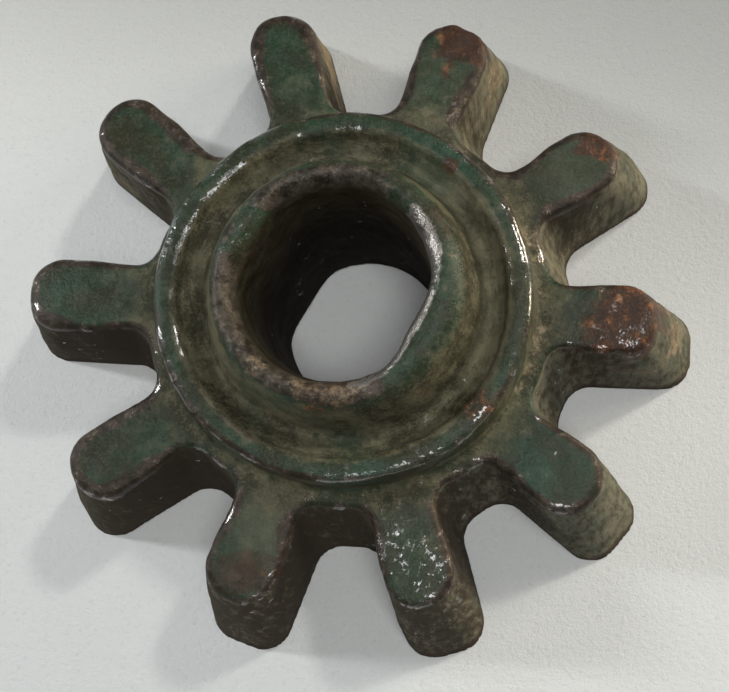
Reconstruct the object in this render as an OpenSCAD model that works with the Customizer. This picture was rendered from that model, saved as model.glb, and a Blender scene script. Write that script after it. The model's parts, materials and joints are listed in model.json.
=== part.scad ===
// Cast-iron cog wheel, one casting.
// Drafted paddle teeth stand round a flat-backed disc. On its top face are a raised rim,
// a smooth annular groove and a tall hub, whose round bore has two opposite flats.
// +Z runs along the bore. The origin is on the bore's axis, at the flat underside.
// One tooth points along +X. All sizes are in millimetres.

/* [Disc] */
// Number of teeth
tooth_count = 10; // [9:1:11]
// Height of the tooth tops above the underside
disc_h = 20.5; // [16:0.5:22]
// Radius of the gap floors at the underside
root_r = 35.5; // [34:0.5:38]
// Radius of the gap floors at the top face
top_root_r = 30; // [29.5:0.25:32]

/* [Teeth] */
// Radius of the tooth tips at the underside, half of the wheel's diameter
tip_r = 55; // [52:0.5:60]
// Radius of the tooth tips at the top face
top_tip_r = 47.2; // [44:0.2:50]
// Width of a tooth at the underside
tooth_w = 13.2; // [12:0.2:14]
// Width of a tooth at the top face
top_tooth_w = 10.6; // [9:0.2:11]
// Corner radius of a tooth tip at the underside
tip_corner = 4.8; // [3:0.2:5.8]
// Corner radius of a tooth tip at the top face
top_tip_corner = 4.8; // [2:0.2:5]
// Radius of the blend between a tooth and a gap floor
root_blend = 2.6; // [1:0.2:3]
// Height of the rounded edge round the top face
top_round_h = 1.7; // [0.8:0.1:2.5]
// Width of the rounded edge round the top face
top_round_w = 1.3; // [0.5:0.1:1.4]
// Size of the broken edge round the underside
foot_round = 0.5; // [0.2:0.1:1]

/* [Rim] */
// Height of the rim's crest above the underside
rim_h = 27; // [24:0.5:28]
// Radius of the rim's outer wall
rim_r = 26.4; // [25.5:0.1:26.8]
// Radius where the rim's outer wall meets the disc
rim_foot_r = 28.2; // [27.5:0.1:28.4]
// Width of the rim, from its outer wall to the groove
rim_w = 3.4; // [3:0.1:3.6]

/* [Groove] */
// Height of the groove's floor above the underside
groove_h = 22.6; // [21:0.2:23.4]

/* [Hub] */
// Height of the hub's rounded lip above the underside
hub_h = 33; // [30:0.5:36]
// Outer radius of the hub below its lip
hub_r = 17; // [16:0.1:17.4]
// Outer radius of the hub at the groove, where its drafted wall ends
hub_foot_r = 19.2; // [17.6:0.1:20]

/* [Bore] */
// Radius of the bore
bore_r = 12.9; // [12:0.1:13.2]
// Distance between the bore's two flats
across_flats = 22.8; // [20:0.2:23.4]
// Direction that the flats face, in degrees from +X
flat_angle = -26; // [-90:1:90]

/* [Hidden] */
$fn = 96;

// How far tools run past the faces that they cut
past = 1;
// Height inside the disc where the turned part starts, so that the two solids overlap
overlap_h = 2;
// How far the rim's foot sinks into the disc's top face, and the lip's bead into the bore
sink = 0.2;
// Steps in a tooth's tip corner and in its root blend
corner_steps = 4;
blend_steps = 4;
// Steps in each arc of the turned profile
turned_steps = 6;

// Points along an arc round a centre, from angle a0 to angle a1
function arc(centre, r, a0, a1, steps) =
    [for (i = [0:steps]) let (a = a0 + (a1 - a0) * i / steps)
        centre + r * [cos(a), sin(a)]];

function mix(a, b, t) = a + (b - a) * t;

function turned(p, a) = [p[0] * cos(a) - p[1] * sin(a), p[0] * sin(a) + p[1] * cos(a)];

// One side of a tooth that points along +X, from the gap's middle to the tip.
// The blend is an arc that touches both the gap floor's circle and the tooth's straight side.
function tooth_side(tip, half_w, root, corner, blend) =
    let (
        blend_x = sqrt(pow(root + blend, 2) - pow(half_w + blend, 2)),
        blend_a = atan2(half_w + blend, blend_x),
        gap_a = 180 / tooth_count
    )
    concat(
        [root * [cos(gap_a), sin(gap_a)]],
        arc([blend_x, half_w + blend], blend, 180 + blend_a, 270, blend_steps),
        arc([tip - corner, half_w - corner], corner, 90, 0, corner_steps)
    );

// Last index of tooth_side's points
side_last = blend_steps + corner_steps + 2;

// One whole tooth, clockwise from one gap's middle and up to the next gap
function tooth_outline(side) =
    concat(side, [for (i = [side_last:-1:1]) [side[i][0], -side[i][1]]]);

// The whole wheel's outline at height fraction t, drawn in by inset
function wheel_outline(t, inset) =
    let (
        side = tooth_side(
            mix(tip_r, top_tip_r, t) - inset,
            mix(tooth_w, top_tooth_w, t) / 2 - inset,
            mix(root_r, top_root_r, t) - inset,
            mix(tip_corner, top_tip_corner, t) - inset,
            root_blend + inset),
        tooth = tooth_outline(side)
    )
    [for (k = [0:tooth_count - 1]) for (p = tooth) turned(p, -k * 360 / tooth_count)];

// Heights of the disc's sections, each with the inset that rounds its edge
sections = [
    [0, foot_round],
    [foot_round, 0],
    [disc_h - top_round_h, 0],
    [disc_h - top_round_h * 0.4, top_round_w * 0.35],
    [disc_h, top_round_w]
];

// Toothed disc with draft from the underside up to the top face.
// Its two flat faces are fans of triangles round a point on the axis.
module toothed_disc() {
    outlines = [for (s = sections) wheel_outline(s[0] / disc_h, s[1])];
    count = len(outlines[0]);
    last = len(sections) - 1;
    low_centre = (last + 1) * count;
    top_centre = low_centre + 1;
    points = concat(
        [for (i = [0:last]) for (p = outlines[i]) [p[0], p[1], sections[i][0]]],
        [[0, 0, 0], [0, 0, disc_h]]);
    walls = [for (i = [0:last - 1]) for (j = [0:count - 1])
        let (
            a = i * count + j,
            b = i * count + (j + 1) % count
        )
        each [[a, b, b + count], [a, b + count, a + count]]];
    underside = [for (j = [0:count - 1]) [low_centre, (j + 1) % count, j]];
    top_face = [for (j = [0:count - 1])
        [top_centre, last * count + j, last * count + (j + 1) % count]];
    polyhedron(points = points, faces = concat(walls, underside, top_face), convexity = 10);
}

// Section through the rim, groove and hub
module turned_profile() {
    foot_blend = rim_foot_r - rim_r;
    crest_r = rim_w / 2;
    groove_outer = rim_r - rim_w;
    groove_round = (groove_outer - hub_foot_r) / 2;
    lip_r = (hub_r - bore_r + sink) / 2;
    polygon(concat(
        [[0, overlap_h], [rim_foot_r, overlap_h]],
        arc([rim_foot_r, disc_h + foot_blend - sink], foot_blend, 270, 180, turned_steps),
        arc([rim_r - crest_r, rim_h - crest_r], crest_r, 0, 180, 2 * turned_steps),
        arc([hub_foot_r + groove_round, groove_h + groove_round], groove_round, 0, -180,
            2 * turned_steps),
        arc([hub_r - lip_r, hub_h - lip_r], lip_r, 0, 180, 2 * turned_steps),
        [[0, hub_h - lip_r]]
    ));
}

// Round bore with two opposite flats
module bore_with_flats() {
    rotate([0, 0, flat_angle])
        translate([0, 0, -past])
            intersection() {
                cylinder(r = bore_r, h = hub_h + 2 * past);
                translate([-across_flats / 2, -bore_r - past, -past])
                    cube([across_flats, 2 * (bore_r + past), hub_h + 4 * past]);
            }
}

module cog_wheel() {
    color([0.17, 0.28, 0.24])
        difference() {
            union() {
                toothed_disc();
                rotate_extrude()
                    turned_profile();
            }
            bore_with_flats();
        }
}

cog_wheel();
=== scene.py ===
"""Looks of the cast-iron cog wheel: the casting's surface, its worn paint, the floor, lights and camera.

The casting is one signed field in millimetres (below zero inside the iron). It is meshed, drawn onto
the field's zero surface, roughened like a sand casting, and painted by values kept on its points.
"""
import json
import math
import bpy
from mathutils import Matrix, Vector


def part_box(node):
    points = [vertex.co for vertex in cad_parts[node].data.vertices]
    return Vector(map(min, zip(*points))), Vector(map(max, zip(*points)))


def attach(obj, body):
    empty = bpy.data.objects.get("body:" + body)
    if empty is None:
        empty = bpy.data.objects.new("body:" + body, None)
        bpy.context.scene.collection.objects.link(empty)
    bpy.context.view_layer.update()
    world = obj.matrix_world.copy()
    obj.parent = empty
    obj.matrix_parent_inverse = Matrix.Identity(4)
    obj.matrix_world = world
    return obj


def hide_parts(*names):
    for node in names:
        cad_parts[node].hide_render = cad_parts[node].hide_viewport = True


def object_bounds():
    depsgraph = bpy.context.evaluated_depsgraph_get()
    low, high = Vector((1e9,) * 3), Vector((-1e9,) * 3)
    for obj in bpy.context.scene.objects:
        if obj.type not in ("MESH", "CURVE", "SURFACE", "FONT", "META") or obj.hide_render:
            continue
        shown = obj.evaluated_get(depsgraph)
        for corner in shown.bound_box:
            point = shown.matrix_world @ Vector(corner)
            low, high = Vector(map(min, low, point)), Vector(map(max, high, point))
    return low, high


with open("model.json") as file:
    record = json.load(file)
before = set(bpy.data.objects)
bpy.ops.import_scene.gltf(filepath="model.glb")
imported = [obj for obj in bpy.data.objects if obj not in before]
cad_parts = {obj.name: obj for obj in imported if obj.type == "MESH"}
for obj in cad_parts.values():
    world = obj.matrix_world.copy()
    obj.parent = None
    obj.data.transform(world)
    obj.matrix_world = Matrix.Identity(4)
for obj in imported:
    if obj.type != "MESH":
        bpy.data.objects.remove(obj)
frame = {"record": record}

from types import SimpleNamespace

import bpy
import numpy as np
import openvdb
from mathutils import Matrix, Vector

# ---------------------------------------------------------------- sizes, in millimetres

MM = 0.001
NODE = "cog_wheel"
BODY = "root"
PIECE = "cog_casting"
cad_low, cad_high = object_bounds()
node_low, node_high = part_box(NODE)
mounts = {mount["name"]: mount for mount in frame["record"]["mounts"]}

TEETH = 10
TIP_R = node_high.x / MM
HUB_H = node_high.z / MM
BORE_R = mounts["shaft_bore"]["dims"]["r_mm"]

DISC_H = 20.5
TOP_TIP_R = 47.0
ROOT_R = 35.3
TOP_ROOT_R = 29.7
TOOTH_W = 13.2
TOP_TOOTH_W = 10.4
TIP_CORNER = 4.8
TOP_TIP_CORNER = 4.9
GAP_ROUND = 3.4
TOP_GAP_ROUND = 2.6
TOP_EDGE = 1.0
FOOT_EDGE = 0.5
# A tooth is narrower by this much near its root, up to the first radius, and fades out by the second
WAIST = 0.5
WAIST_R = 33
WAIST_END_R = 39
# Cosine of the walls' lean, which turns a level distance into a true one
WALL_COS = 0.96

RIM_H = 27.0
RIM_R = 26.7
RIM_W = 3.4
RIM_EDGE = 1.1
RIM_SLOPE = 0.85
RIM_FOOT = 1.8
GROOVE_H = 21.8
GROOVE_SOFT = 1.2
HUB_R = 16.9
HUB_SLOPE = 0.32
LIP_EDGE = 2.4
# Height inside the disc where the rim, groove floor and hub start
OVERLAP_H = 2.0

FLAT_HALF = 11.4
FLAT_ANGLE = math.radians(-26)
BORE_CORNER = 1.0
BORE_DRAFT = 0.2
# How far the bore flares at its mouth, towards which direction in degrees, and between which heights
FLARE = 2.3
FLARE_TURN = 165
FLARE_LOW = 23
FLARE_TOP = 34
# Rounding of the bore's lower edge, and how much rounder its upper edge is
BORE_EDGE = 0.7
LIP_EXTRA = 1.5

# How far the casting is bent out of true, and over what distance
UNEVEN = 0.3
UNEVEN_SIZE = 19.0

VOXEL = 0.58
MARGIN = 3.0
SNAP_STEPS = 3
FLOOR_HALF = 6000.0
FLOOR_DROP = 0.05

# How each tooth differs from the pattern: turn in degrees, extra reach, extra width and extra
# reach at its top. The first tooth points along +X, and the rest follow anticlockwise.
TOOTH_CHANGES = [
    (0.0, -0.2, 0.0, -1.7),
    (-0.8, 0.0, -0.5, -1.1),
    (0.2, 0.0, 0.1, -0.5),
    (0.2, 0.2, -0.2, 0.0),
    (-0.2, 0.5, 0.0, 0.2),
    (0.2, 0.4, 0.2, 0.2),
    (0.0, 0.1, 0.2, -0.2),
    (-0.2, -0.1, 0.1, -0.9),
    (0.3, -0.3, -0.1, -1.5),
    (0.0, -0.3, 0.2, -1.7),
]


# ---------------------------------------------------------------- numbers on arrays of points

def lattice_noise(points, size, seed):
    """Smooth noise from -1 to 1 over points, with cells of the given size."""
    cells = 32
    table = np.random.default_rng(seed).uniform(-1, 1, (cells, cells, cells)).astype(np.float32)
    scaled = points / size
    corner = np.floor(scaled).astype(np.int64)
    part = (scaled - corner).astype(np.float32)
    part = part * part * (3 - 2 * part)
    low = corner % cells
    high = (corner + 1) % cells
    total = np.zeros(len(points), np.float32)
    for ix, wx in ((low[:, 0], 1 - part[:, 0]), (high[:, 0], part[:, 0])):
        for iy, wy in ((low[:, 1], 1 - part[:, 1]), (high[:, 1], part[:, 1])):
            for iz, wz in ((low[:, 2], 1 - part[:, 2]), (high[:, 2], part[:, 2])):
                total += table[ix, iy, iz] * wx * wy * wz
    return total


def layered_noise(points, size, seed, layers=3):
    """Lattice noise with finer, weaker layers added."""
    total = np.zeros(len(points), np.float32)
    for layer in range(layers):
        total += lattice_noise(points, size / 2 ** layer, seed + layer) / 2 ** layer
    return total


def smooth_step(value, low, high):
    t = np.clip((value - low) / (high - low), 0, 1)
    return t * t * (3 - 2 * t)


def band(value, low, low_full, high_full, high):
    """1 between the two full values, fading to 0 at low and at high."""
    return smooth_step(value, low, low_full) * (1 - smooth_step(value, high_full, high))


def towards(angle, degrees):
    """1 on the side that faces the given direction, fading to 0 on the opposite side."""
    return 0.5 + 0.5 * np.cos(angle - math.radians(degrees))


def round_union(a, b, radius):
    """Both shapes, with a fillet of the given radius where they meet."""
    return np.maximum(radius, np.minimum(a, b)) - np.hypot(
        np.maximum(radius - a, 0), np.maximum(radius - b, 0))


def soft_union(shapes, reach):
    """All the shapes, running softly into each other where they come close."""
    nearness = sum(np.exp(np.clip(-shape / reach, -60, 60)) for shape in shapes)
    return -reach * np.log(nearness)


def round_overlap(a, b, radius):
    """The part inside both shapes, with its edge rounded to the given radius."""
    return np.minimum(-radius, np.maximum(a, b)) + np.hypot(
        np.maximum(radius + a, 0), np.maximum(radius + b, 0))


# ---------------------------------------------------------------- the casting's field

def tooth_field(x, y, rise, index):
    """Upright walls of one tooth. rise is 0 at the underside and 1 at the tooth tops."""
    turn, reach, extra, top_reach = TOOTH_CHANGES[index]
    angle = math.radians(index * 360 / TEETH + turn)
    along = x * math.cos(angle) + y * math.sin(angle)
    across = np.abs(y * math.cos(angle) - x * math.sin(angle))
    tip = TIP_R + reach + (TOP_TIP_R + top_reach - TIP_R) * rise
    waist = WAIST * rise * smooth_step(-along, -WAIST_END_R, -WAIST_R)
    half = (TOOTH_W + extra + (TOP_TOOTH_W - TOOTH_W) * rise) / 2 - waist
    corner = TIP_CORNER + (TOP_TIP_CORNER - TIP_CORNER) * rise
    end = np.abs(along - tip / 2) - (tip / 2 - corner)
    side = across - (half - corner)
    return np.hypot(np.maximum(end, 0), np.maximum(side, 0)) + np.minimum(
        np.maximum(end, side), 0) - corner


def toothed_disc_field(x, y, z, radius):
    # the walls' lean carries on a little above the tops, which keeps the field smooth there
    rise = np.clip(z / DISC_H, 0, 1.15)
    walls = radius - (ROOT_R + (TOP_ROOT_R - ROOT_R) * rise)
    gap_round = GAP_ROUND + (TOP_GAP_ROUND - GAP_ROUND) * rise
    for index in range(TEETH):
        walls = round_union(walls, tooth_field(x, y, rise, index), gap_round)
    capped = round_overlap(walls * WALL_COS, z - DISC_H, TOP_EDGE)
    return round_overlap(capped, -z, FOOT_EDGE)


def rim_field(radius, z):
    middle = RIM_R - RIM_W / 2
    slope = RIM_SLOPE * np.maximum(RIM_H - RIM_EDGE - z, 0)
    side = np.maximum(radius - middle, middle - radius - slope) - (RIM_W / 2 - RIM_EDGE)
    top = z - (RIM_H - RIM_EDGE)
    return np.hypot(np.maximum(side, 0), np.maximum(top, 0)) + np.minimum(
        np.maximum(side, top), 0) - RIM_EDGE


def bore_field(x, y, z):
    """The shaft hole: round, with two flats, and slightly wider at the top."""
    across = np.abs(x * math.cos(FLAT_ANGLE) + y * math.sin(FLAT_ANGLE))
    grown = BORE_DRAFT * (z / HUB_H * 2 - 1)
    worn_side = towards(np.arctan2(y, x), FLARE_TURN)
    grown = grown + FLARE * worn_side * smooth_step(z, FLARE_LOW, FLARE_TOP) ** 2
    return round_overlap(
        np.hypot(x, y) - BORE_R - grown, across - FLAT_HALF - grown, BORE_CORNER)


def casting_field(points):
    """Signed distance to the casting's surface at each point, nearly exact close to it."""
    bent = points + UNEVEN * np.stack(
        [lattice_noise(points, UNEVEN_SIZE, seed) for seed in (11, 12, 13)], axis=1)
    bent[:, 2] = points[:, 2]
    x, y, z = bent.T
    radius = np.hypot(x, y)
    field = toothed_disc_field(x, y, z, radius)
    hub_wall = (radius - HUB_R - HUB_SLOPE * (HUB_H - z)) * math.cos(math.atan(HUB_SLOPE))
    hub = round_overlap(hub_wall, z - HUB_H, LIP_EDGE)
    groove_floor = np.maximum(radius - RIM_R + RIM_W / 2, z - GROOVE_H)
    turned = soft_union((rim_field(radius, z), groove_floor, hub), GROOVE_SOFT)
    field = round_union(field, np.maximum(turned, OVERLAP_H - z), RIM_FOOT)
    lip_round = BORE_EDGE + LIP_EXTRA * smooth_step(z, 24, 31)
    return round_overlap(field, -bore_field(x, y, z), lip_round)


def field_normals(points, step=0.05):
    """Outward unit directions of the field at each point."""
    slopes = []
    for axis in range(3):
        shift = np.zeros(3, np.float32)
        shift[axis] = step
        slopes.append(casting_field(points + shift) - casting_field(points - shift))
    slopes = np.stack(slopes, axis=1)
    return slopes / np.maximum(np.linalg.norm(slopes, axis=1, keepdims=True), 1e-6)


def meshed_field():
    """Points and four-sided faces of the field's zero surface."""
    low = np.array([node_low.x, node_low.y, node_low.z]) / MM - MARGIN
    high = np.array([node_high.x, node_high.y, node_high.z]) / MM + MARGIN
    counts = np.ceil((high - low) / VOXEL).astype(int)
    axes = [low[i] + VOXEL * np.arange(counts[i]) for i in range(3)]
    values = np.empty(counts, np.float32)
    for k, height in enumerate(axes[2]):
        across, along = np.meshgrid(axes[0], axes[1], indexing="ij")
        layer = np.stack([across, along, np.full_like(across, height)], axis=-1)
        values[:, :, k] = casting_field(
            layer.reshape(-1, 3).astype(np.float32)).reshape(counts[0], counts[1])
    grid = openvdb.FloatGrid(MARGIN)
    grid.copyFromArray(values)
    points, quads = grid.convertToQuads(isovalue=0.0)
    return (low + points * VOXEL).astype(np.float32), quads.astype(np.int64)


# ---------------------------------------------------------------- wear, rust and dirt on the points

# Where rust, crust, sparkling scale, whole paint, tan dust with some painted light, a film of dust and
# rubbed metal lie:
# centre, reach and strength
RUST_SPOTS = [
    ((41.0, -0.5, 20.5), 6.2, 1.0),
    ((46.5, 2.5, 16.0), 4.5, 0.6),
    ((14.0, 42.5, 20.0), 4.4, 1.0),
    ((37.0, 27.5, 20.0), 3.6, 0.9),
    ((14.2, 19.5, 27.0), 1.8, 0.8),
    ((19.5, -15.0, 27.0), 3.2, 0.55),
    ((12.5, -12.5, 27.0), 2.6, 0.45),
    ((-1.0, -16.5, 31.0), 3.4, 0.45),
    ((-12.5, -40.0, 20.0), 3.4, 0.48),
]
CRUST_SPOTS = [
    ((-12.0, -39.5, 20.5), 4.6, 0.8),
    ((14.0, 42.0, 20.0), 4.0, 1.0),
    ((13.0, 9.0, 32.5), 3.4, 0.5),
]
SHINE_SPOTS = [
    ((41.0, -2.5, 20.5), 4.8, 0.8),
    ((12.0, -37.0, 20.5), 7.5, 0.8),
    ((-14.0, 8.5, 31.5), 4.0, 0.8),
    ((-22.3, 13.0, 27.0), 7.0, 0.75),
    ((14.0, -19.0, 23.0), 5.5, 0.42),
]
PAINTED_SPOTS = [
    ((-12.0, 7.5, 32.0), 3.6, 1.0),
    ((10.0, -13.0, 31.5), 3.0, 0.8),
]
TAN_AND_LIGHT_SPOTS = [
    # The first spot is painted light on a tooth wall that faces the left
    ((-42.5, 23.5, 10.0), 6.5, 0.55),
    ((-3.5, -14.4, 33.0), 2.8, 0.70),
    ((1.5, -14.6, 33.0), 2.2, 0.55),
    ((-10.0, -11.5, 32.8), 2.6, 0.5),
    # The next four are tan dust and painted warm light on tooth walls and ends that face the right
    ((54.0, 0.0, 10.0), 6.5, 0.9),
    ((-8.0, 45.0, 10.0), 7.0, 0.9),
    ((20.0, 41.0, 10.0), 6.0, 0.6),
    ((47.0, 31.0, 12.0), 4.0, 0.5),
    ((-7.4, -19.4, 22.5), 0.8, 1.2),
    ((24.6, 17.1, 24.0), 0.6, 1.2),
]
FILM_SPOTS = [
    ((-10.5, -33.5, 20.5), 7.0, 0.55),
    ((11.5, 35.5, 20.5), 7.0, 0.40),
    ((30.5, 22.0, 20.5), 8.0, 0.42),
]
WORN_SPOTS = [
    ((12.0, 8.5, 32.5), 4.6, 1.0),
    ((14.0, 3.0, 32.5), 4.0, 0.8),
    ((12.5, -4.0, 32.5), 4.2, 1.1),
    ((8.5, -10.0, 32.5), 4.4, 1.1),
]


def spots(points, places):
    """Strength of soft round spots at each point, broken up by noise."""
    broken = 1 + 0.5 * layered_noise(points, 3.6, 71, 4)
    total = np.zeros(len(points), np.float32)
    for centre, reach, strength in places:
        away = np.linalg.norm(points - np.array(centre, np.float32), axis=1) * broken
        total = np.maximum(total, strength * np.exp(-(away / reach) ** 4))
    return total


def sharpness(points, normals, depth):
    """1 on a sharp outer edge, 0 on a flat face, measured at the given depth."""
    return np.clip(1 + casting_field(points - normals * depth) / depth, 0, 1)


def bend(points, step=0.6):
    """How sharply the surface bends, per millimetre: above 0 on edges and below 0 in corners."""
    total = -6 * casting_field(points)
    for axis in range(3):
        shift = np.zeros(3, np.float32)
        shift[axis] = step
        total += casting_field(points + shift) + casting_field(points - shift)
    return total / step ** 2


def hollowness(points, normals, reach):
    """1 deep in a corner, 0 on an open face, measured at the given reach."""
    return np.clip(1 - casting_field(points + normals * reach) / reach, 0, 1)


def regions(points):
    """Soft masks of the casting's parts, from 0 to 1, by radius, height and direction in degrees."""
    radius = np.hypot(points[:, 0], points[:, 1])
    height = points[:, 2]
    around = np.arctan2(points[:, 1], points[:, 0])
    tooth = smooth_step(radius, 28.0, 32.0)
    rim = (1 - tooth) * smooth_step(radius, 20.5, 22.5)
    return SimpleNamespace(
        tooth=tooth,
        tooth_tip=smooth_step(radius, 41.0, 47.0),
        upper_tooth=tooth * smooth_step(height, 13.0, 17.0),
        off_foot=smooth_step(height, 2.0, 6.0),
        rim=rim,
        inner_rim=rim * (1 - smooth_step(radius, 23.2, 24.0)),
        outer_rim=rim * smooth_step(radius, 25.2, 26.2),
        rim_foot=band(radius, 26.9, 27.7, 28.0, 30.5),
        groove=band(radius, 16.0, 18.0, 23.4, 24.8),
        hub_side=band(radius, 15.6, 16.8, 18.4, 20.2) * (1 - smooth_step(height, 30.5, 32.0)),
        lip=smooth_step(height, 28.0, 31.0) * (1 - smooth_step(radius, 16.0, 18.0)),
        bore=(1 - smooth_step(radius, 13.6, 14.6)) * (1 - smooth_step(height, 30.0, 32.0)),
        bore_edge=smooth_step(height, 28, 31) * (1 - smooth_step(bore_field(*points.T), 0.8, 2.6)),
        lip_wear=towards(around, 200),
        # The side whose walls get painted shade
        shaded=towards(around, 230),
        far_side=towards(around, 170),
        right_side=smooth_step(towards(around, 15), 0.75, 0.95),
    )


def bare_iron(points, normals, bent, at):
    """Where the paint is worn off: along the teeth's and the rim's edges, and on the lip."""
    spread = layered_noise(points, 11.0, 61)
    side = 0.55 + 0.75 * at.tooth_tip + 1.0 * spread
    teeth = at.tooth * (0.62 * bent + side * sharpness(points, normals, 3.6)) * at.off_foot
    lip = (0.64 + 0.20 * at.lip_wear + 0.35 * spread) * at.lip
    rim = (0.30 + 0.6 * spread) * at.rim + 0.42 * at.outer_rim + 0.1 * at.inner_rim
    return teeth + lip + rim * bent - 0.9 * spots(points, PAINTED_SPOTS)


def wet_gloss(points, bent, at):
    """Where smooth paint glints along the rim's edges and the teeth's upper edges."""
    rim = at.rim * (0.46 - 0.30 * at.right_side + 0.9 * layered_noise(points, 4.0, 81))
    teeth = at.upper_tooth * (0.05 + 0.55 * layered_noise(points, 4.0, 91))
    return (rim + teeth) * bent


def surface_values(points, normals):
    """The values on the points that the material is painted by."""
    at = regions(points)
    bent = np.clip(bend(points), 0, 1)
    # Tan dust and painted light: lighter on the hub's left slope and on the groove's right side
    hub_side_dust_and_light = 1.7 * at.hub_side * at.far_side ** 2
    groove_dust_and_light = 0.6 * at.groove * (1 - at.hub_side) * at.right_side
    settled = 0.45 * np.maximum(at.groove, at.hub_side)
    wide = (hollowness(points, normals, 7.0) + hollowness(points, normals, 12.0)) / 2
    return {
        "bare": bare_iron(points, normals, bent, at),
        "wet": wet_gloss(points, bent, at),
        "worn": spots(points, WORN_SPOTS) * at.bore_edge,
        "shaded": at.shaded,
        # dust: tan dust and painted light on the hub's left slope and the groove's right side
        "dust": hub_side_dust_and_light + groove_dust_and_light,
        # tan dust and painted light on some tooth walls, and painted light along the rim's foot on the
        # right side
        "tan": spots(points, TAN_AND_LIGHT_SPOTS) + 0.38 * at.right_side * at.rim_foot,
        "inside": at.bore,
        "lip": at.lip,
        "hollow": hollowness(points, normals, 3.0) + settled,
        "hollow_wide": wide,
        "film": spots(points, FILM_SPOTS),
        "rust": spots(points, RUST_SPOTS),
        "crust": spots(points, CRUST_SPOTS),
        "shine": spots(points, SHINE_SPOTS),
    }


def roughened(points, normals, crust):
    """The points moved like a sand casting's skin, less near the underside, which stays flat."""
    upper = 0.15 + 0.85 * smooth_step(points[:, 2], 0.5, 3.0)
    rough = 0.16 * layered_noise(points, 7.0, 31, 2) + 0.09 * layered_noise(points, 2.6, 41, 2)
    rough = rough + crust * 0.38 * layered_noise(points, 1.6, 51, 2)
    moved = points + normals * (rough * upper)[:, None]
    moved[:, 2] = np.maximum(moved[:, 2], 0)
    return moved


def mesh_object(name, points, quads, values):
    """A smooth-shaded mesh of four-sided faces, with each named value on its points."""
    mesh = bpy.data.meshes.new(name)
    mesh.vertices.add(len(points))
    mesh.vertices.foreach_set("co", (points * MM).astype(np.float32).ravel())
    mesh.loops.add(quads.size)
    mesh.loops.foreach_set("vertex_index", quads.ravel().astype(np.int32))
    mesh.polygons.add(len(quads))
    mesh.polygons.foreach_set("loop_start", np.arange(0, quads.size, 4, dtype=np.int32))
    mesh.polygons.foreach_set("use_smooth", np.ones(len(quads), bool))
    for value_name, value in values.items():
        layer = mesh.attributes.new(value_name, "FLOAT", "POINT")
        layer.data.foreach_set("value", value.astype(np.float32))
    mesh.update()
    mesh.validate()
    made = bpy.data.objects.new(name, mesh)
    bpy.context.scene.collection.objects.link(made)
    return made


def make_casting():
    """The casting: meshed, drawn onto the field's zero surface, valued and roughened."""
    points, quads = meshed_field()
    for _ in range(SNAP_STEPS):
        points = points - field_normals(points) * casting_field(points)[:, None]
    normals = field_normals(points)
    values = surface_values(points, normals)
    return mesh_object(PIECE, roughened(points, normals, values["crust"]), quads, values)


# ---------------------------------------------------------------- node helpers

class Paintbox:
    """A material's nodes, added one call at a time. Each call returns the new node's output."""

    def __init__(self, name):
        self.material = bpy.data.materials.new(name)
        self.material.use_nodes = True
        self.tree = self.material.node_tree
        self.shader = self.tree.nodes["Principled BSDF"]

    def node(self, kind, inputs, output=0, **settings):
        new = self.tree.nodes.new("ShaderNode" + kind)
        for name, value in settings.items():
            setattr(new, name, value)
        for name, value in inputs.items():
            self.put(new.inputs[name], value)
        return new.outputs[output]

    def put(self, socket, value):
        if isinstance(value, bpy.types.NodeSocket):
            self.tree.links.new(value, socket)
        elif socket.type == "RGBA":
            socket.default_value = (*value, 1)
        else:
            socket.default_value = value

    def value(self, name):
        return self.node("Attribute", {}, "Fac", attribute_name=name)

    def noise(self, place, size_mm, detail=3.0, sharp=0.6):
        return self.node("TexNoise", {
            "Vector": place, "Scale": 1 / (size_mm * MM), "Detail": detail, "Roughness": sharp})

    def set(self, name, value):
        self.put(self.shader.inputs[name], value)

    def sum(self, a, b):
        return self.node("Math", {0: a, 1: b}, operation="ADD")

    def times(self, a, b):
        return self.node("Math", {0: a, 1: b}, operation="MULTIPLY")

    def most(self, a, b):
        return self.node("Math", {0: a, 1: b}, operation="MAXIMUM")

    def less(self, a, b):
        return self.node("Math", {0: a, 1: b}, operation="SUBTRACT", use_clamp=True)

    def broken(self, value, noise, weight):
        """The value with its edges broken up by a noise."""
        return self.sum(value, self.times(self.sum(noise, -0.5), weight))

    def stretched(self, place, factors):
        return self.node("VectorMath", {0: place, 1: factors}, "Vector", operation="MULTIPLY")

    def ramp(self, value, low, high, first=0.0, last=1.0):
        return self.node("MapRange", {
            "Value": value, "From Min": low, "From Max": high, "To Min": first, "To Max": last,
        }, interpolation_type="SMOOTHSTEP")

    def blend(self, amount, first, last):
        return self.node("Mix", {0: amount, 6: first, 7: last}, 2, data_type="RGBA")

    def blend_value(self, amount, first, last):
        return self.node("Mix", {0: amount, 2: first, 3: last}, 0, data_type="FLOAT")

    def bump(self, height, strength, depth_mm):
        return self.node(
            "Bump", {"Height": height, "Strength": strength, "Distance": depth_mm * MM}, "Normal")


# ---------------------------------------------------------------- materials

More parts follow.
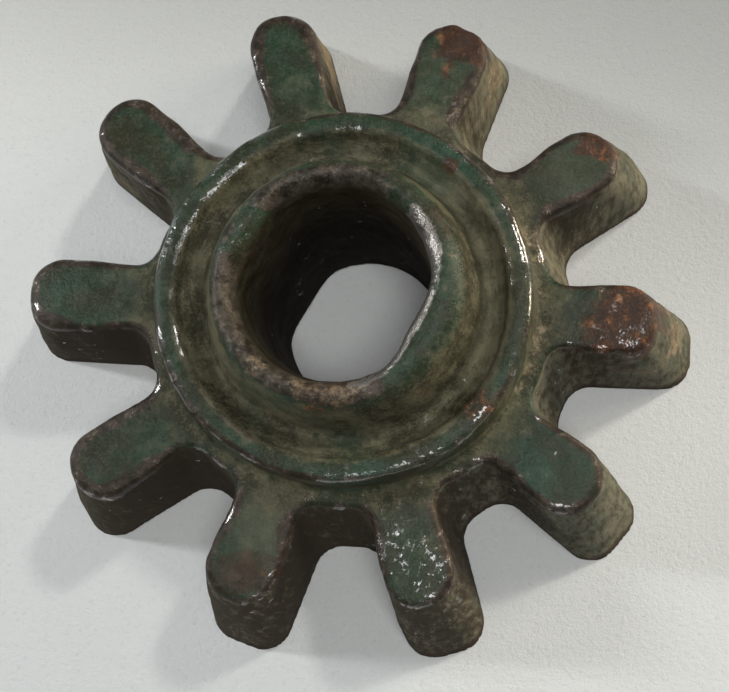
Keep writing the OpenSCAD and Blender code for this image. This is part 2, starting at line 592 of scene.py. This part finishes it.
GREEN_DARK = (0.021, 0.025, 0.013)
GREEN = (0.020, 0.041, 0.023)
GREEN_BRIGHT = (0.014, 0.064, 0.038)
GREEN_DUSTY = (0.062, 0.068, 0.042)
OLIVE_DARK = (0.030, 0.028, 0.015)
OLIVE = (0.078, 0.072, 0.042)
KHAKI = (0.160, 0.140, 0.085)
BORE_BROWN = (0.010, 0.007, 0.004)
BORE_UPPER = (0.046, 0.034, 0.020)
IRON_WORN = (0.34, 0.31, 0.28)
WALL_GREY = (0.150, 0.138, 0.094)
WALL_GREEN = (0.095, 0.105, 0.074)
WALL_BROWN = (0.036, 0.024, 0.014)
IRON = (0.076, 0.061, 0.048)
IRON_DARK = (0.020, 0.015, 0.011)
IRON_EDGE = (0.048, 0.033, 0.025)
IRON_PALE = (0.200, 0.170, 0.125)
RUST_DARK = (0.032, 0.016, 0.010)
RUST = (0.085, 0.036, 0.018)
RUST_ORANGE = (0.230, 0.090, 0.030)
TAN = (0.270, 0.205, 0.130)
TAN_DARK = (0.110, 0.070, 0.042)
PAPER = (0.67, 0.675, 0.65)
PAPER_COOL = (0.61, 0.62, 0.60)
PAPER_FIBRE = (0.42, 0.42, 0.39)
PAPER_SHADE = (0.26, 0.265, 0.255)
CRUMB = (0.10, 0.09, 0.07)
# The direction in which painted shade darkens the paper
PAPER_SHADE_SIDE = (0.25, 1.0, 0.0)


def swept_noise(box, place, from_axis):
    """Streaks that run round the axis."""
    heading = box.node("VectorMath", {0: place}, "Vector", operation="NORMALIZE")
    lifted = box.node("CombineXYZ", {2: from_axis})
    curled = box.node("VectorMath", {0: box.stretched(heading, (5 * MM,) * 3), 1: lifted}, "Vector")
    return box.noise(curled, 0.8, 4, 0.65)


def shared_maps(box):
    """The noises and places that the casting's layers share, from broad clouds down to grain."""
    place = box.node("TexCoord", {}, "Object")
    normal_z = box.node("SeparateXYZ", {0: box.node("NewGeometry", {}, "Normal")}, 2)
    flat = box.stretched(place, (1.0, 1.0, 0.0))
    from_axis = box.node("VectorMath", {0: flat}, "Value", operation="LENGTH")
    fleck = box.noise(place, 1.8, 5, 0.7)
    grain = box.noise(place, 0.4, 3, 0.8)
    return SimpleNamespace(
        place=place,
        height=box.node("SeparateXYZ", {0: place}, 2),
        steep=box.ramp(box.node("Math", {0: normal_z}, operation="ABSOLUTE"), 0.66, 0.42),
        turned=box.ramp(from_axis, 27 * MM, 25 * MM),
        broad=box.noise(place, 16, 3),
        patch=box.noise(place, 6.5, 4),
        fleck=fleck,
        grain=grain,
        speck=box.sum(box.times(fleck, 0.5), box.times(grain, 0.5)),
        streak=box.noise(box.stretched(place, (1.0, 1.0, 0.22)), 1.1, 4, 0.7),
        rings=box.noise(box.stretched(place, (0.3, 0.3, 1.0)), 1.0, 4, 0.7),
        swept=swept_noise(box, flat, from_axis),
        blister=box.noise(place, 1.1, 2, 0.6),
    )


def paint(box, maps):
    """Dark green paint with brighter, darker and dusty patches."""
    colour = box.blend(box.ramp(maps.patch, 0.35, 0.65), GREEN_DARK, GREEN)
    colour = box.blend(box.ramp(maps.broad, 0.54, 0.68, 0, 0.45), colour, GREEN_BRIGHT)
    colour = box.blend(box.ramp(maps.broad, 0.48, 0.36, 0, 0.7), colour, OLIVE_DARK)
    colour = box.blend(box.ramp(maps.speck, 0.50, 0.62, 0, 0.5), colour, GREEN_DUSTY)
    colour = box.blend(box.ramp(maps.speck, 0.48, 0.38, 0, 0.6), colour, IRON_DARK)
    film = box.ramp(box.broken(box.value("film"), maps.patch, 0.6), 0.1, 0.9)
    return box.blend(film, colour, GREEN_DUSTY)


# Each layer below gives where it lies, how much it covers there, and its colour.

def grime_and_light(box, maps):
    """Olive and khaki dirt over the paint, thick in the hollows and swept round in the groove, lighter
    where painted light falls on the hub's left slope and the groove's right side.
    """
    hollow = box.sum(box.value("hollow"), box.times(box.value("hollow_wide"), 1.1))
    dirt = box.broken(box.broken(hollow, maps.patch, 1.4), maps.fleck, 0.8)
    # The dust value lightens the dirt: dust and painted light on one side of the hub and of the groove
    dusty = box.sum(maps.patch, box.times(box.sum(box.value("dust"), -0.2), 0.30))
    colour = box.blend(box.ramp(dusty, 0.38, 0.56), OLIVE_DARK, OLIVE)
    colour = box.blend(box.ramp(dusty, 0.58, 0.74, 0, 0.6), colour, KHAKI)
    colour = box.blend(box.ramp(maps.speck, 0.47, 0.64, 0, 0.55), colour, KHAKI)
    colour = box.blend(box.ramp(maps.speck, 0.46, 0.34, 0, 0.65), colour, BORE_BROWN)
    colour = box.blend(box.ramp(maps.broad, 0.50, 0.66, 0, 0.5), colour, GREEN)
    light_sweep = box.times(maps.turned, box.ramp(maps.swept, 0.50, 0.66, 0, 0.32))
    dark_sweep = box.times(maps.turned, box.ramp(maps.swept, 0.47, 0.36, 0, 0.36))
    colour = box.blend(light_sweep, colour, KHAKI)
    colour = box.blend(dark_sweep, colour, OLIVE_DARK)
    return box.ramp(dirt, 0.05, 0.70, 0.0, 0.9), 1.0, colour


def stained_and_shaded_walls(box, maps):
    """Upright walls: paint rubbed to grey and streaked with brown, browner deeper between the teeth and
    darkest at the foot, with painted shade on the walls that face the lower left.
    """
    upright = box.times(maps.steep, box.ramp(maps.height, 23.0 * MM, 20.0 * MM))
    stain_and_shade = box.broken(box.times(maps.streak, 0.75), maps.patch, 0.35)
    stain_and_shade = box.sum(stain_and_shade, box.times(maps.grain, 0.3))
    # Painted shade: walls that face the lower left, away from the lights, turn browner
    stain_and_shade = box.sum(stain_and_shade, box.ramp(box.value("shaded"), 0.45, 0.90, 0, 0.18))
    # Browner deeper in the gaps between the teeth
    stain_and_shade = box.sum(stain_and_shade, box.ramp(box.value("hollow_wide"), 0.20, 0.55, 0, 0.10))
    foot = box.broken(maps.height, maps.patch, 6 * MM)
    colour = box.blend(box.ramp(maps.patch, 0.40, 0.62), WALL_GREY, WALL_GREEN)
    colour = box.blend(box.ramp(stain_and_shade, 0.42, 0.72, 0, 0.95), colour, WALL_BROWN)
    colour = box.blend(box.ramp(foot, 3.0 * MM, 0.5 * MM, 0, 0.9), colour, RUST_DARK)
    return upright, 0.94, colour


def worn_edges(box, maps):
    """Bare dark iron on worn edges and round the hub's lip."""
    edge = box.broken(box.broken(box.value("bare"), maps.patch, 1.1), maps.fleck, 0.7)
    colour = box.blend(box.value("lip"), IRON_EDGE, IRON)
    colour = box.blend(box.ramp(maps.fleck, 0.35, 0.60), IRON_DARK, colour)
    colour = box.blend(box.ramp(maps.speck, 0.53, 0.66, 0, 0.7), colour, IRON_PALE)
    return box.ramp(edge, 0.42, 0.62), 0.9, colour


def tan_dust_and_light(box, maps):
    """Tan dust and bare primer, with painted light on some tooth walls and along the rim's foot."""
    tan = box.ramp(box.broken(box.value("tan"), maps.fleck, 1.4), 0.25, 0.80)
    return tan, 0.75, box.blend(box.ramp(maps.speck, 0.42, 0.60), TAN_DARK, TAN)


def rubbed_metal(box, maps):
    """Metal rubbed bright on the shaft hole's edge."""
    return box.ramp(box.broken(box.value("worn"), maps.fleck, 1.6), 0.45, 0.80), 0.85, IRON_WORN


def oily_bore_and_shade(box, maps):
    """Dark oily brown inside the bore, ringed, and dustier near its mouth, with painted shade that
    darkens it further down.
    """
    # Painted shade: darker further down the bore
    deep = box.ramp(maps.height, 27.0 * MM, 17.0 * MM)
    colour = box.blend(deep, BORE_UPPER, BORE_BROWN)
    colour = box.blend(box.ramp(maps.speck, 0.50, 0.66, 0, 0.5), colour, BORE_UPPER)
    dusty = box.times(box.ramp(maps.rings, 0.48, 0.62, 0, 0.6), box.less(1.0, deep))
    colour = box.blend(dusty, colour, OLIVE)
    colour = box.blend(box.ramp(maps.rings, 0.46, 0.34, 0, 0.6), colour, BORE_BROWN)
    return box.value("inside"), 0.92, colour


def rust_patches(box, maps):
    """Brown rust with orange flecks."""
    rust = box.broken(box.broken(box.value("rust"), maps.fleck, 1.2), maps.patch, 0.8)
    colour = box.blend(box.ramp(maps.speck, 0.46, 0.60), RUST_DARK, RUST)
    colour = box.blend(box.ramp(maps.fleck, 0.53, 0.69, 0, 0.8), colour, RUST_ORANGE)
    return box.ramp(rust, 0.25, 0.75), 0.9, colour


def rust_crust(box, maps):
    """Darker crust, where the casting is also rougher."""
    return box.ramp(box.broken(box.value("crust"), maps.fleck, 0.8), 0.35, 0.6), 0.55, RUST_DARK


def iron_material():
    """Old green paint over cast iron, worn through on the edges, with dirt, dust and rust."""
    box = Paintbox("worn_green_iron")
    maps = shared_maps(box)
    colour = paint(box, maps)
    where = {}
    for layer in (grime_and_light, stained_and_shaded_walls, worn_edges, tan_dust_and_light, rubbed_metal, oily_bore_and_shade,
                  rust_patches, rust_crust):
        where[layer], cover, layer_colour = layer(box, maps)
        colour = box.blend(box.times(where[layer], cover), colour, layer_colour)

    shine = box.ramp(box.broken(box.value("shine"), maps.fleck, 1.0), 0.30, 0.7)
    wet = box.ramp(box.broken(box.value("wet"), maps.fleck, 2.4), 0.34, 0.50)
    rough = box.ramp(maps.speck, 0.40, 0.60, 0.18, 0.36)
    for amount, roughness in (
            (where[grime_and_light], 0.72), (where[stained_and_shaded_walls], 0.9), (where[worn_edges], 0.36),
            (where[rust_patches], 0.50), (where[rubbed_metal], 0.22), (wet, 0.15),
            (where[oily_bore_and_shade], 0.85)):
        rough = box.blend_value(amount, rough, roughness)
    metal = box.most(box.times(where[worn_edges], 0.3), box.times(where[rubbed_metal], 0.8))

    # a clear gloss: runs on wet paint, and sparkles on blistered scale
    blisters = box.times(maps.blister, box.ramp(shine, 0, 1, 0.15, 1))
    ripple = box.sum(box.times(maps.fleck, 0.62), blisters)
    raised = box.sum(maps.blister, box.times(maps.grain, 0.3))
    sparkle = box.times(shine, box.ramp(raised, 0.70, 0.82))

    box.set("Base Color", colour)
    box.set("Roughness", rough)
    box.set("Metallic", box.most(metal, box.times(where[oily_bore_and_shade], 0.9)))
    box.set("Specular IOR Level", 0.17)
    box.set("Normal", box.bump(box.sum(box.times(maps.grain, 0.45), maps.fleck), 0.8, 0.26))
    box.set("Coat Weight", box.most(wet, sparkle))
    box.set("Coat Roughness", 0.07)
    box.set("Coat IOR", 1.8)
    box.set("Coat Normal", box.bump(ripple, 0.6, 0.35))
    return box.material


def paper_material():
    """Pale paper with a fine tooth and a few crumbs, with painted shade that makes it a little darker
    towards the far side.
    """
    box = Paintbox("pale_paper")
    place = box.node("TexCoord", {}, "Object")
    far = box.node("VectorMath", {0: place, 1: PAPER_SHADE_SIDE}, "Value", operation="DOT_PRODUCT")
    tooth = box.noise(place, 1.1, 5, 0.8)
    colour = box.blend(box.noise(place, 40, 2), PAPER_COOL, PAPER)
    colour = box.blend(box.ramp(tooth, 0.46, 0.30, 0, 0.35), colour, PAPER_FIBRE)
    # Painted shade towards the far side
    colour = box.blend(box.ramp(far, -5 * MM, 90 * MM, 0, 0.85), colour, PAPER_SHADE)
    crumb = box.ramp(box.noise(place, 2.6, 4, 0.75), 0.74, 0.80, 0, 0.8)
    box.set("Base Color", box.blend(crumb, colour, CRUMB))
    box.set("Roughness", 0.9)
    box.set("Normal", box.bump(tooth, 0.9, 0.45))
    return box.material


# ---------------------------------------------------------------- stage, lights and camera

def make_floor():
    half = FLOOR_HALF * MM
    corners = [(-half, -half, 0), (half, -half, 0), (half, half, 0), (-half, half, 0)]
    mesh = bpy.data.meshes.new("paper_floor")
    mesh.from_pydata(corners, [], [(0, 1, 2, 3)])
    mesh.materials.append(paper_material())
    floor = bpy.data.objects.new("paper_floor", mesh)
    floor.location.z = cad_low.z - FLOOR_DROP * MM
    bpy.context.scene.collection.objects.link(floor)


# Area lights: name, place and size in metres, watts and colour
LIGHTS = [
    ("overhead", (0.10, -0.10, 0.60), (0.24, 0.24), 2.0, (0.97, 0.98, 1.0)),
    ("key", (0.28, 0.30, 0.46), (0.05, 0.05), 1.2, (1.0, 0.98, 0.95)),
    ("bounce", (0.96, 0.50, 0.13), (0.50, 0.20), 12.0, (1.0, 0.88, 0.66)),
    ("window", (-0.55, 0.12, 0.34), (0.06, 0.16), 2.2, (0.93, 0.97, 1.0)),
]
LIGHTS_AIM = Vector((0, 0, 0.015))
WORLD_COLOUR = (0.95, 0.98, 1.0, 1)
WORLD_STRENGTH = 0.17


def area_light(name, place, size, watts, colour):
    data = bpy.data.lights.new(name, "AREA")
    data.shape = "RECTANGLE"
    data.size, data.size_y = size
    data.energy = watts
    data.color = colour
    light = bpy.data.objects.new(name, data)
    light.location = place
    light.rotation_euler = (LIGHTS_AIM - Vector(place)).to_track_quat("-Z", "Y").to_euler()
    bpy.context.scene.collection.objects.link(light)


def make_lights():
    for light in LIGHTS:
        area_light(*light)
    world = bpy.data.worlds.new("studio")
    world.use_nodes = True
    background = world.node_tree.nodes["Background"]
    background.inputs["Color"].default_value = WORLD_COLOUR
    background.inputs["Strength"].default_value = WORLD_STRENGTH
    bpy.context.scene.world = world


AIM = Vector((20.1, -18.4, 15.0)) * MM
VIEW_AZIMUTH = math.radians(-81.4)
VIEW_ELEVATION = math.radians(82.85)
VIEW_DISTANCE = 137.4 * MM
VIEW_ROLL = math.radians(2.95)
LENS = 45.2
SHIFT = (-0.158, 0.129)


def make_camera():
    """Looks down on the wheel. The picture's right edge is turned a little from +X."""
    data = bpy.data.cameras.new("camera")
    data.lens = LENS
    data.sensor_width = 36
    data.shift_x, data.shift_y = SHIFT
    camera = bpy.data.objects.new("camera", data)
    back = Vector((
        math.cos(VIEW_AZIMUTH) * math.cos(VIEW_ELEVATION),
        math.sin(VIEW_AZIMUTH) * math.cos(VIEW_ELEVATION),
        math.sin(VIEW_ELEVATION)))
    heading = Vector((math.cos(VIEW_ROLL), math.sin(VIEW_ROLL), 0))
    right = (heading - back * heading.dot(back)).normalized()
    up = back.cross(right)
    turn = Matrix((right, up, back)).transposed().to_4x4()
    camera.matrix_world = Matrix.Translation(AIM + back * VIEW_DISTANCE) @ turn
    data.clip_start = 0.01
    bpy.context.scene.collection.objects.link(camera)
    bpy.context.scene.camera = camera


# ---------------------------------------------------------------- the scene

make_camera()
make_floor()
make_lights()
bpy.context.scene.view_settings.view_transform = "Standard"

casting = make_casting()
casting.data.materials.append(iron_material())
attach(casting, BODY)
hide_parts(NODE)
